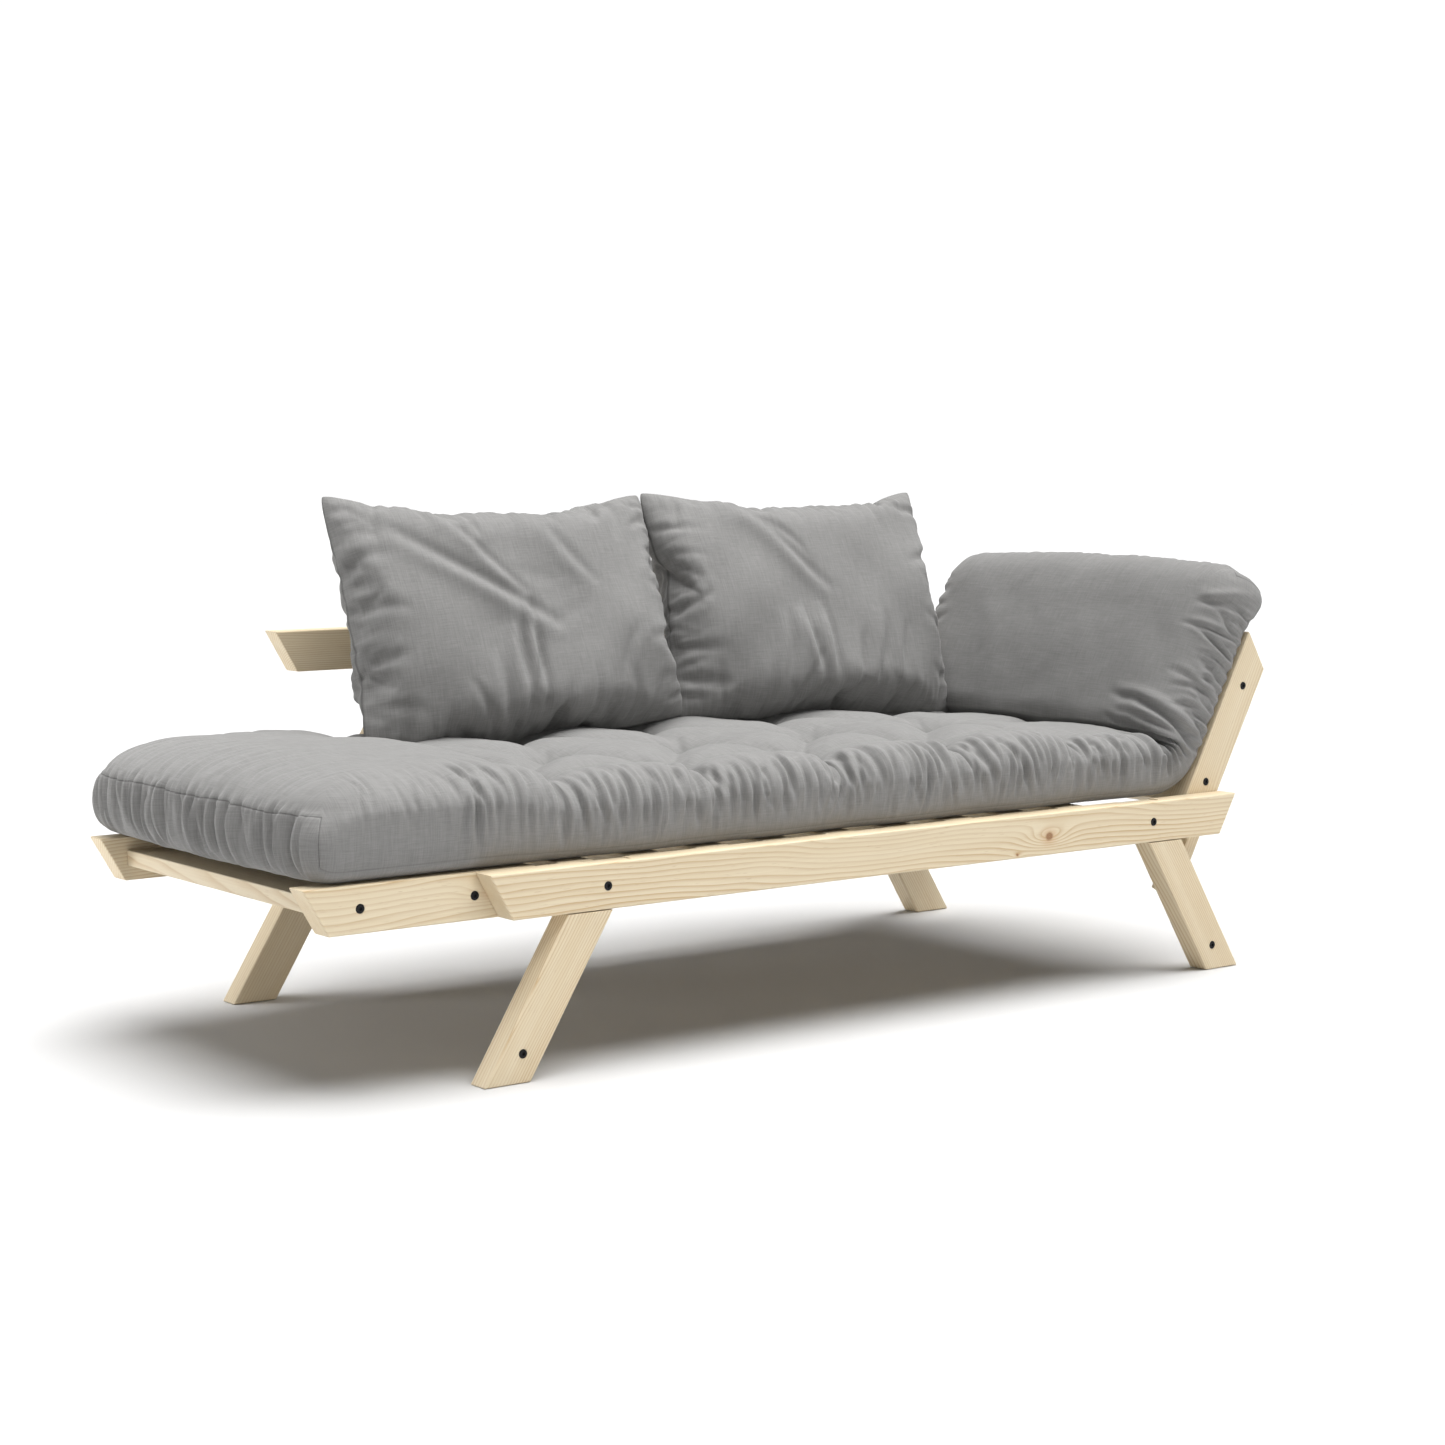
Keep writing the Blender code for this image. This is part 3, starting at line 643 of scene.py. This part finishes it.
    # faint unevenness of the filling, so no face is perfectly flat
    for f1, f2, amp, ph1 in ((0.011, 0.017, 1.3, 0.4), (0.023, 0.013, 0.9, 2.1), (0.037, 0.041, 0.45, 4.0)):
        D += amp * np.sin(f1 * pa + 2.2 * np.sin(f2 * pb + ph1)) * np.cos(f2 * pb + 1.7 * np.sin(f1 * pa)) * (vz > -0.9)
    D[(vz <= -0.999) & (rho < 0.5)] = 0

    N = normals(P)
    P = P + N * D[:, None]

    # seams of the two end panels: a sewn groove round each end
    # these values mark the seam lines: the groove is pressed in below, and the fabric paints shade along them
    seam_shade = np.zeros(len(P))
    kseam = int(np.argmin(np.abs(hl - seam_v)))
    ends = (ii == 0) | (ii == na)
    on_top = ends & (kk == kseam)
    on_corner = ends & ((jj == 0) | (jj == nb)) & (kk <= kseam) & (kk > 0)
    seam_shade[on_top | on_corner] = 1.0
    # a little waviness along the sewn line, shared by its neighbours
    near = ends & (np.abs(hl[kk] - seam_v) < 0.2)
    wob = 1.5 * np.sin(pb / 37.0) + 0.6 * np.sin(pb / 15.0 + 1) + 0.3 * np.sin(pb / 8.3)
    P[near, 2] += (wob * (1 - np.abs(hl[kk] - seam_v) / 0.2))[near]
    N = normals(P)
    P[seam_shade > 0] -= 1.3 * N[seam_shade > 0]
    # sewn seam along the underside edge of the long sides
    klow = int(np.argmin(np.abs(hl + 0.95)))
    low = ((jj == 0) | (jj == nb)) & (kk == klow)
    # a fainter painted shade along this lower seam
    seam_shade[low] = 0.55
    P[low] -= 1.0 * N[low]

    # cloth coordinates in metres
    cloth_u, cloth_v = pa / 1000, pb / 1000

    N = normals(P)
    cut = int(np.argmin(np.abs(al - 40.0)))
    halves = []
    fi = ii[quads]
    for name, keep in (("futon_left", fi.max(1) <= cut), ("futon_right", fi.min(1) >= cut)):
        f = quads[keep]
        used = np.unique(f)
        new = np.full(len(P), -1, np.int64)
        new[used] = np.arange(len(used))
        # loop of the cut, in order round the section
        ring = np.concatenate([index[cut, :, 0], index[cut, -1, 1:], index[cut, -2::-1, -1], index[cut, 0, -2:0:-1]])
        cap = [int(new[r]) for r in ring]
        if name == "futon_left":
            pass
        else:
            cap = cap[::-1]
        verts = row(P[used])
        mesh = bpy.data.meshes.new(name)
        faces = [list(map(int, q)) for q in new[f]] + [cap]
        mesh.from_pydata(verts.tolist(), [], faces)
        mesh.shade_smooth()
        mesh.polygons[len(faces) - 1].use_smooth = False
        uvs = mesh.uv_layers.new(name="cloth")
        loop_v = np.zeros(len(mesh.loops), np.int32)
        mesh.loops.foreach_get("vertex_index", loop_v)
        # one consistent chart for each quad: the panel that holds most of it
        cu, cv = cloth_u[used][loop_v], cloth_v[used][loop_v]
        nq = len(f) * 4
        qa, qb, qu = pa[used][loop_v[:nq]].reshape(-1, 4), pb[used][loop_v[:nq]].reshape(-1, 4), u[used][loop_v[:nq]].reshape(-1, 4)
        is_end = ((wl + wright > 0.5)[used][loop_v[:nq]].reshape(-1, 4).sum(1) >= 3) & (np.abs(qu).mean(1) < 140)
        is_side = ((wf + wr >= 0.5)[used][loop_v[:nq]].reshape(-1, 4).sum(1) >= 2) & (np.abs(qu).mean(1) < 140)
        U_ = np.where(is_end[:, None], qb, qa)
        V_ = np.where((is_end | is_side)[:, None], qu, qb)
        cu[:nq], cv[:nq] = (U_ / 1000).ravel(), (V_ / 1000).ravel()
        uvs.data.foreach_set("uv", np.stack([cu, cv], 1).astype(np.float32).ravel())
        # the seam lines' weight, read by the fabric to paint shade along them
        at = mesh.attributes.new("seam_shade", "FLOAT", "POINT")
        at.data.foreach_set("value", seam_shade[used].astype(np.float32))
        mesh.validate()
        mesh.update()
        ln = N[used][loop_v]
        ncap = len(cap)
        ln[-ncap:] = (1, 0, 0) if name == "futon_left" else (-1, 0, 0)
        mesh.normals_split_custom_set(ln.tolist())
        o = bpy.data.objects.new(name, mesh)
        bpy.context.scene.collection.objects.link(o)
        halves.append(o)
    return halves


cloth_seat = fabric("grey_fabric_futon", "cloth")
futon_left, futon_right = futon()
for o in (futon_left, futon_right):
    o.data.materials.append(cloth_seat)
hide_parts("futon_left_end", "futon_middle")
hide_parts("futon_right_end")

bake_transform(futon_left)
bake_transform(futon_right)

# ----------------------------------------------------------------- the pillows

PW, PH = 654.0, 450.0  # the flat panels before filling


def pillow(name, seed, thick):
    """A loose back pillow: two flat panels sewn together all round, then filled by a cloth simulation with pressure."""
    nx, ny = 112, 78
    rng = np.random.default_rng(seed)
    xs, ys = np.linspace(-1, 1, nx + 1), np.linspace(-1, 1, ny + 1)
    gx, gy = np.meshgrid(xs, ys, indexing="ij")
    # the bottom and side edges are cut a little full, so that they end straight once filled; corners are rounded
    round_ = 1 - 0.012 * (np.abs(gx) * np.abs(gy)) ** 24
    px = gx * (1 + 0.040 * (1 - gy**2) * gx**2) * round_ * PW / 2000
    py = gy * (1 + np.where(gy < 0, 0.150, 0.012) * (1 - gx**2) * gy**2) * round_ * PH / 2000
    dome = (1 - gx**2) ** 0.6 * (1 - gy**2) ** 0.6
    bumpy = sum(rng.uniform(-1, 1) * np.sin(rng.uniform(3, 9) * gx + rng.uniform(0, 6)) * np.sin(rng.uniform(3, 9) * gy + rng.uniform(0, 6)) for _ in range(9))
    z = dome * (0.026 + 0.0022 * bumpy)
    idf = np.arange((nx + 1) * (ny + 1)).reshape(nx + 1, ny + 1)
    border = np.zeros_like(idf, bool)
    border[[0, -1]] = True
    border[:, [0, -1]] = True
    idb = np.where(border, idf, 0)
    idb[~border] = idf.size + np.arange((~border).sum())
    pf = np.stack([px, py, z], -1).reshape(-1, 3)
    pb_ = np.stack([px, py, -z * 0.8], -1)[~border]
    verts = np.concatenate([pf, pb_])
    q1 = np.stack([idf[:-1, :-1], idf[1:, :-1], idf[1:, 1:], idf[:-1, 1:]], -1).reshape(-1, 4)
    q2 = np.stack([idb[:-1, :-1], idb[:-1, 1:], idb[1:, 1:], idb[1:, :-1]], -1).reshape(-1, 4)
    faces = np.concatenate([q1, q2])
    o = make_object(name, verts, faces)
    cl = o.modifiers.new("Cloth", "CLOTH")
    st = cl.settings
    st.quality = 6
    st.mass = 0.25
    st.tension_stiffness = st.compression_stiffness = 22
    st.shear_stiffness = 8
    st.bending_stiffness = 0.3
    st.tension_damping = st.compression_damping = 8
    st.use_pressure = True
    st.uniform_pressure_force = 3.5
    st.effector_weights.gravity = 0
    cl.collision_settings.use_collision = False
    cl.collision_settings.use_self_collision = False
    cl.point_cache.frame_start, cl.point_cache.frame_end = 1, 40
    for f in range(1, 36):
        bpy.context.scene.frame_set(f)
        dg = bpy.context.evaluated_depsgraph_get()
        me = o.evaluated_get(dg).to_mesh()
        co = np.zeros(len(me.vertices) * 3)
        me.vertices.foreach_get("co", co)
        co = co.reshape(-1, 3)
        o.evaluated_get(dg).to_mesh_clear()
        if np.ptp(co[:, 2]) >= thick:
            break
    o.modifiers.clear()
    bpy.context.scene.frame_set(1)
    print(name, "filled to", np.ptp(co, axis=0).round(4))
    return o, co, (gx, gy, idf, idb, border, faces)


def vertex_normals(P, quads):
    c = np.cross(P[quads[:, 2]] - P[quads[:, 0]], P[quads[:, 3]] - P[quads[:, 1]])
    out = np.zeros_like(P)
    for k in range(4):
        for ax in range(3):
            out[:, ax] += np.bincount(quads[:, k], c[:, ax], len(P))
    return out / np.maximum(np.linalg.norm(out, axis=1, keepdims=True), 1e-12)


def finish_pillow(o, co, grid, node, corners, thick, folds, seed):
    """Adds puckers along the seams and long soft folds, then sets the four corners in place.
    corners: bottom left, bottom right, top right, top left of the seam, in working millimetres."""
    gx, gy, idf, idb, border, faces = grid
    nf = idf.size
    co = co * 1000.0
    mid = (co.max(0) + co.min(0)) / 2
    co[:, 2] -= mid[2]
    co[:, 2] *= thick * 1000 / np.ptp(co[:, 2])
    g1 = np.concatenate([gx.reshape(-1), gx[~border]])
    g2 = np.concatenate([gy.reshape(-1), gy[~border]])
    X_, Y_ = g1 * PW / 2, g2 * PH / 2
    front_side = np.concatenate([np.ones(nf), -np.ones(len(co) - nf)])
    on_border = np.zeros(len(co), bool)
    on_border[:nf] = border.reshape(-1)
    N = vertex_normals(co, faces)
    D = np.zeros(len(co))
    for panel, sd in ((1, 0), (-1, 50)):
        keep = (front_side == panel) & ~on_border
        for e, (axis, inward) in enumerate(((X_, PH / 2 - Y_), (X_, PH / 2 + Y_), (Y_, PW / 2 - X_), (Y_, PW / 2 + X_))):
            half = PW / 2 if e < 2 else PH / 2
            n_ = 22 if e < 2 else 15
            near = keep & (inward < 110)
            ax, inn = axis[near], inward[near]
            fold = ridge_noise(ax, inn, seed * 100 + sd + e, n_, (-half + 25, half - 25), (6, 26, (60, 125)), (3.8, 6.5), (1.5, 4.6), 0.22, 6)
            fold += ridge_noise(ax, inn, seed * 100 + sd + e + 10, n_ // 3, (-half + 40, half - 40), (24, 46, (110, 190)), (7, 12), (2.5, 6.0), 0.3, 10)
            D[near] += fold * smooth((inn - 2) / 24)
    # long soft folds over the filling
    for x0, y0, x1, y1, wid, dep in folds:
        dvec = np.array([x1 - x0, y1 - y0], float)
        L_ = np.linalg.norm(dvec)
        t = ((X_ - x0) * dvec[0] + (Y_ - y0) * dvec[1]) / L_**2
        tc = np.clip(t, 0, 1)
        dist = ((X_ - x0) * dvec[1] - (Y_ - y0) * dvec[0]) / L_
        dist = dist + 5 * np.sin(t * 3.1 + x0)
        env = np.exp(-((np.abs(t - tc) * L_ / (1.5 * wid)) ** 2)) * (0.35 + 0.65 * np.sin(math.pi * np.clip(tc, 0.02, 0.98)))
        prof = -np.exp(-((dist / wid) ** 2)) + 0.7 * np.exp(-(((dist - 1.9 * wid) / (1.5 * wid)) ** 2))
        D += np.where(front_side > 0, 1.35 * dep * env * prof, 0) * ~on_border
    # uneven filling
    rng = np.random.default_rng(seed + 40)
    lump = sum(rng.uniform(0.4, 1.5) * np.sin(rng.uniform(0.012, 0.04) * X_ + rng.uniform(0, 6)) * np.sin(rng.uniform(0.012, 0.04) * Y_ + rng.uniform(0, 6)) for _ in range(8))
    D += lump * front_side * smooth((1 - np.abs(g1)) * 5) * smooth((1 - np.abs(g2)) * 5)
    co = co + N * D[:, None]
    # seam: the edge is drawn in and wavers
    co[on_border, 2] += (1.5 * np.sin(X_ / 21.0 + seed) + 1.5 * np.sin(Y_ / 17.0 + seed))[on_border]
    w_, h_ = np.ptp(co[:, 0]) / 2, None
    xn = (co[:, 0] - mid[0]) / w_
    top_y, low_y = np.percentile(co[(np.abs(g1) > 0.97) & (g2 > 0.97), 1], 95), np.percentile(co[(np.abs(g1) > 0.97) & (g2 < -0.97), 1], 5)
    yn = (co[:, 1] - (top_y + low_y) / 2) / ((top_y - low_y) / 2)
    zz = co[:, 2] * (1 - 0.27 * yn)
    bl, br, tr, tl = (np.array(c, float) for c in corners)
    wts = [(1 - xn) * (1 - yn) / 4, (1 + xn) * (1 - yn) / 4, (1 + xn) * (1 + yn) / 4, (1 - xn) * (1 + yn) / 4]
    P = sum(wt[:, None] * c for wt, c in zip(wts, (bl, br, tr, tl)))
    up_ = (tl + tr - bl - br) / np.linalg.norm(tl + tr - bl - br)
    across_ = (br + tr - bl - tl) / np.linalg.norm(br + tr - bl - tl)
    out = np.cross(across_, up_)
    P = P + zz[:, None] * out / np.linalg.norm(out)
    o.data.vertices.foreach_set("co", row(P).astype(np.float32).ravel())
    o.data.update()
    uvs = o.data.uv_layers.new(name="cloth")
    loop_v = np.zeros(len(o.data.loops), np.int32)
    o.data.loops.foreach_get("vertex_index", loop_v)
    uvs.data.foreach_set("uv", np.stack([X_[loop_v] / 1000 + 3, Y_[loop_v] / 1000], 1).astype(np.float32).ravel())
    # the sewn edge, read by the fabric to paint shade along it
    at = o.data.attributes.new("seam_shade", "FLOAT", "POINT")
    at.data.foreach_set("value", on_border.astype(np.float32))
    sub = o.modifiers.new("Subdivision", "SUBSURF")
    sub.levels = sub.render_levels = 1
    dg = bpy.context.evaluated_depsgraph_get()
    me = bpy.data.meshes.new_from_object(o.evaluated_get(dg))
    o.modifiers.clear()
    old = o.data
    o.data = me
    bpy.data.meshes.remove(old)
    me.name = o.name
    me.shade_smooth()
    me.update()
    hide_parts(node)
    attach(o, "base")
    return o


cloth_pillow = fabric("grey_fabric_pillow", "cloth")
for name, node, seed, corners, folds in (
    (
        "back_cushion_left",
        "back_pillow_left",
        3,
        ((-622, 593, 400), (14, 595, 441), (14, 727, 824), (-630, 727, 830)),
        [(-215, 150, 25, -35, 11, 7.0), (-130, 165, -10, 30, 8, 4.5), (-35, -15, -48, -150, 8, 8.0), (-2, 5, -22, -165, 7, 7.0), (-92, -90, -85, -175, 8, 5.0), (60, 150, 130, 40, 11, 4.0), (-12, -60, -60, -190, 7, 5.0), (150, -130, 190, -60, 9, 3.5)],
    ),
    (
        "back_cushion_right",
        "back_pillow_right",
        7,
        ((-4, 595, 438), (636, 593, 408), (648, 727, 822), (12, 727, 828)),
        [(-130, 165, 5, 15, 10, 5.5), (-95, 150, -30, 70, 8, 4.0), (-52, -45, -48, -165, 8, 7.0), (-18, -35, -12, -150, 7, 5.5), (-100, -55, -120, -160, 8, 5.0), (120, -55, 90, -165, 9, 5.0), (180, -70, 150, -170, 9, 4.0), (60, -90, 40, -180, 8, 4.0)],
    ),
):
    o, co, grid = pillow(name, seed, 0.168)
    o.data.materials.append(cloth_pillow)
    finish_pillow(o, co, grid, node, corners, 0.176, folds, seed)

# ------------------------------------------------------------ stage and light

floor_mesh = bpy.data.meshes.new("floor")
floor_mesh.from_pydata([(-30, -30, 0), (30, -30, 0), (30, 30, 0), (-30, 30, 0)], [], [(0, 1, 2, 3)])
floor = bpy.data.objects.new("floor", floor_mesh)
floor.location.z = -0.0005
bpy.context.scene.collection.objects.link(floor)
fm = Nodes("floor_pale")
fm.link(fm.ramp(fm.noise(fm.coords("Object"), 3.0, 2.0), [(0.3, (0.575, 0.575, 0.575)), (0.7, (0.585, 0.585, 0.585))]), fm.bsdf.inputs["Base Color"])
fm.bsdf.inputs["Roughness"].default_value = 0.9
fm.bsdf.inputs["Specular IOR Level"].default_value = 0.1
floor_mesh.materials.append(fm.mat)

# a studio with pale walls low down, a dim upper part and one very large soft light overhead
world = bpy.data.worlds.new("studio")
world.use_nodes = True
wt = world.node_tree
bg = wt.nodes["Background"]
tc = wt.nodes.new("ShaderNodeTexCoord")
sx_ = wt.nodes.new("ShaderNodeSeparateXYZ")
wr = wt.nodes.new("ShaderNodeValToRGB")
wt.links.new(tc.outputs["Generated"], sx_.inputs[0])
wt.links.new(sx_.outputs["Z"], wr.inputs[0])
wt.links.new(wr.outputs["Color"], bg.inputs["Color"])
wr.color_ramp.elements[0].position, wr.color_ramp.elements[0].color = 0.165, (1, 1, 1, 1)
wr.color_ramp.elements[1].position, wr.color_ramp.elements[1].color = 0.27, (0.09, 0.09, 0.09, 1)
bg.inputs[1].default_value = 1.02
bpy.context.scene.world = world
bpy.context.scene.view_settings.view_transform = "Standard"
bpy.context.scene.view_settings.look = "None"


def area(name, location, target, size, power, colour=(1, 1, 1)):
    ld = bpy.data.lights.new(name, "AREA")
    ld.shape = "RECTANGLE"
    ld.size, ld.size_y = size
    ld.energy = power
    ld.color = colour
    lo = bpy.data.objects.new(name, ld)
    lo.location = location
    lo.rotation_mode = "QUATERNION"
    lo.rotation_quaternion = (Vector(target) - Vector(location)).to_track_quat("-Z", "Y")
    bpy.context.scene.collection.objects.link(lo)
    return lo


sun_data = bpy.data.lights.new("overhead", "SUN")
sun_data.energy = 6.1
sun_data.angle = math.radians(60)
sun = bpy.data.objects.new("overhead", sun_data)
sun.rotation_mode = "QUATERNION"
sun.rotation_quaternion = (Vector((0, 0, 0)) - Vector((0.20, -0.08, 1.0))).to_track_quat("-Z", "Y")
bpy.context.scene.collection.objects.link(sun)

area("left_rake", (-1.75, 1.0, 0.55), (-0.95, -0.1, 0.36), (0.5, 0.5), 6.5).visible_camera = False

# ------------------------------------------------------------------- the camera

cam_data = bpy.data.cameras.new("camera")
cam_data.sensor_width = 36.0
cam_data.lens = 69.58
cam_data.clip_start, cam_data.clip_end = 0.1, 100
cam = bpy.data.objects.new("camera", cam_data)
bpy.context.scene.collection.objects.link(cam)
yaw, pitch = math.radians(37.49), math.radians(-5.71)
cam.location = (-2.80795, -3.7191, 0.9145)
forward = Vector((math.sin(yaw) * math.cos(pitch), math.cos(yaw) * math.cos(pitch), math.sin(pitch)))
cam.rotation_mode = "QUATERNION"
cam.rotation_quaternion = forward.to_track_quat("-Z", "Y")
bpy.context.scene.camera = cam

bpy.context.view_layer.update()
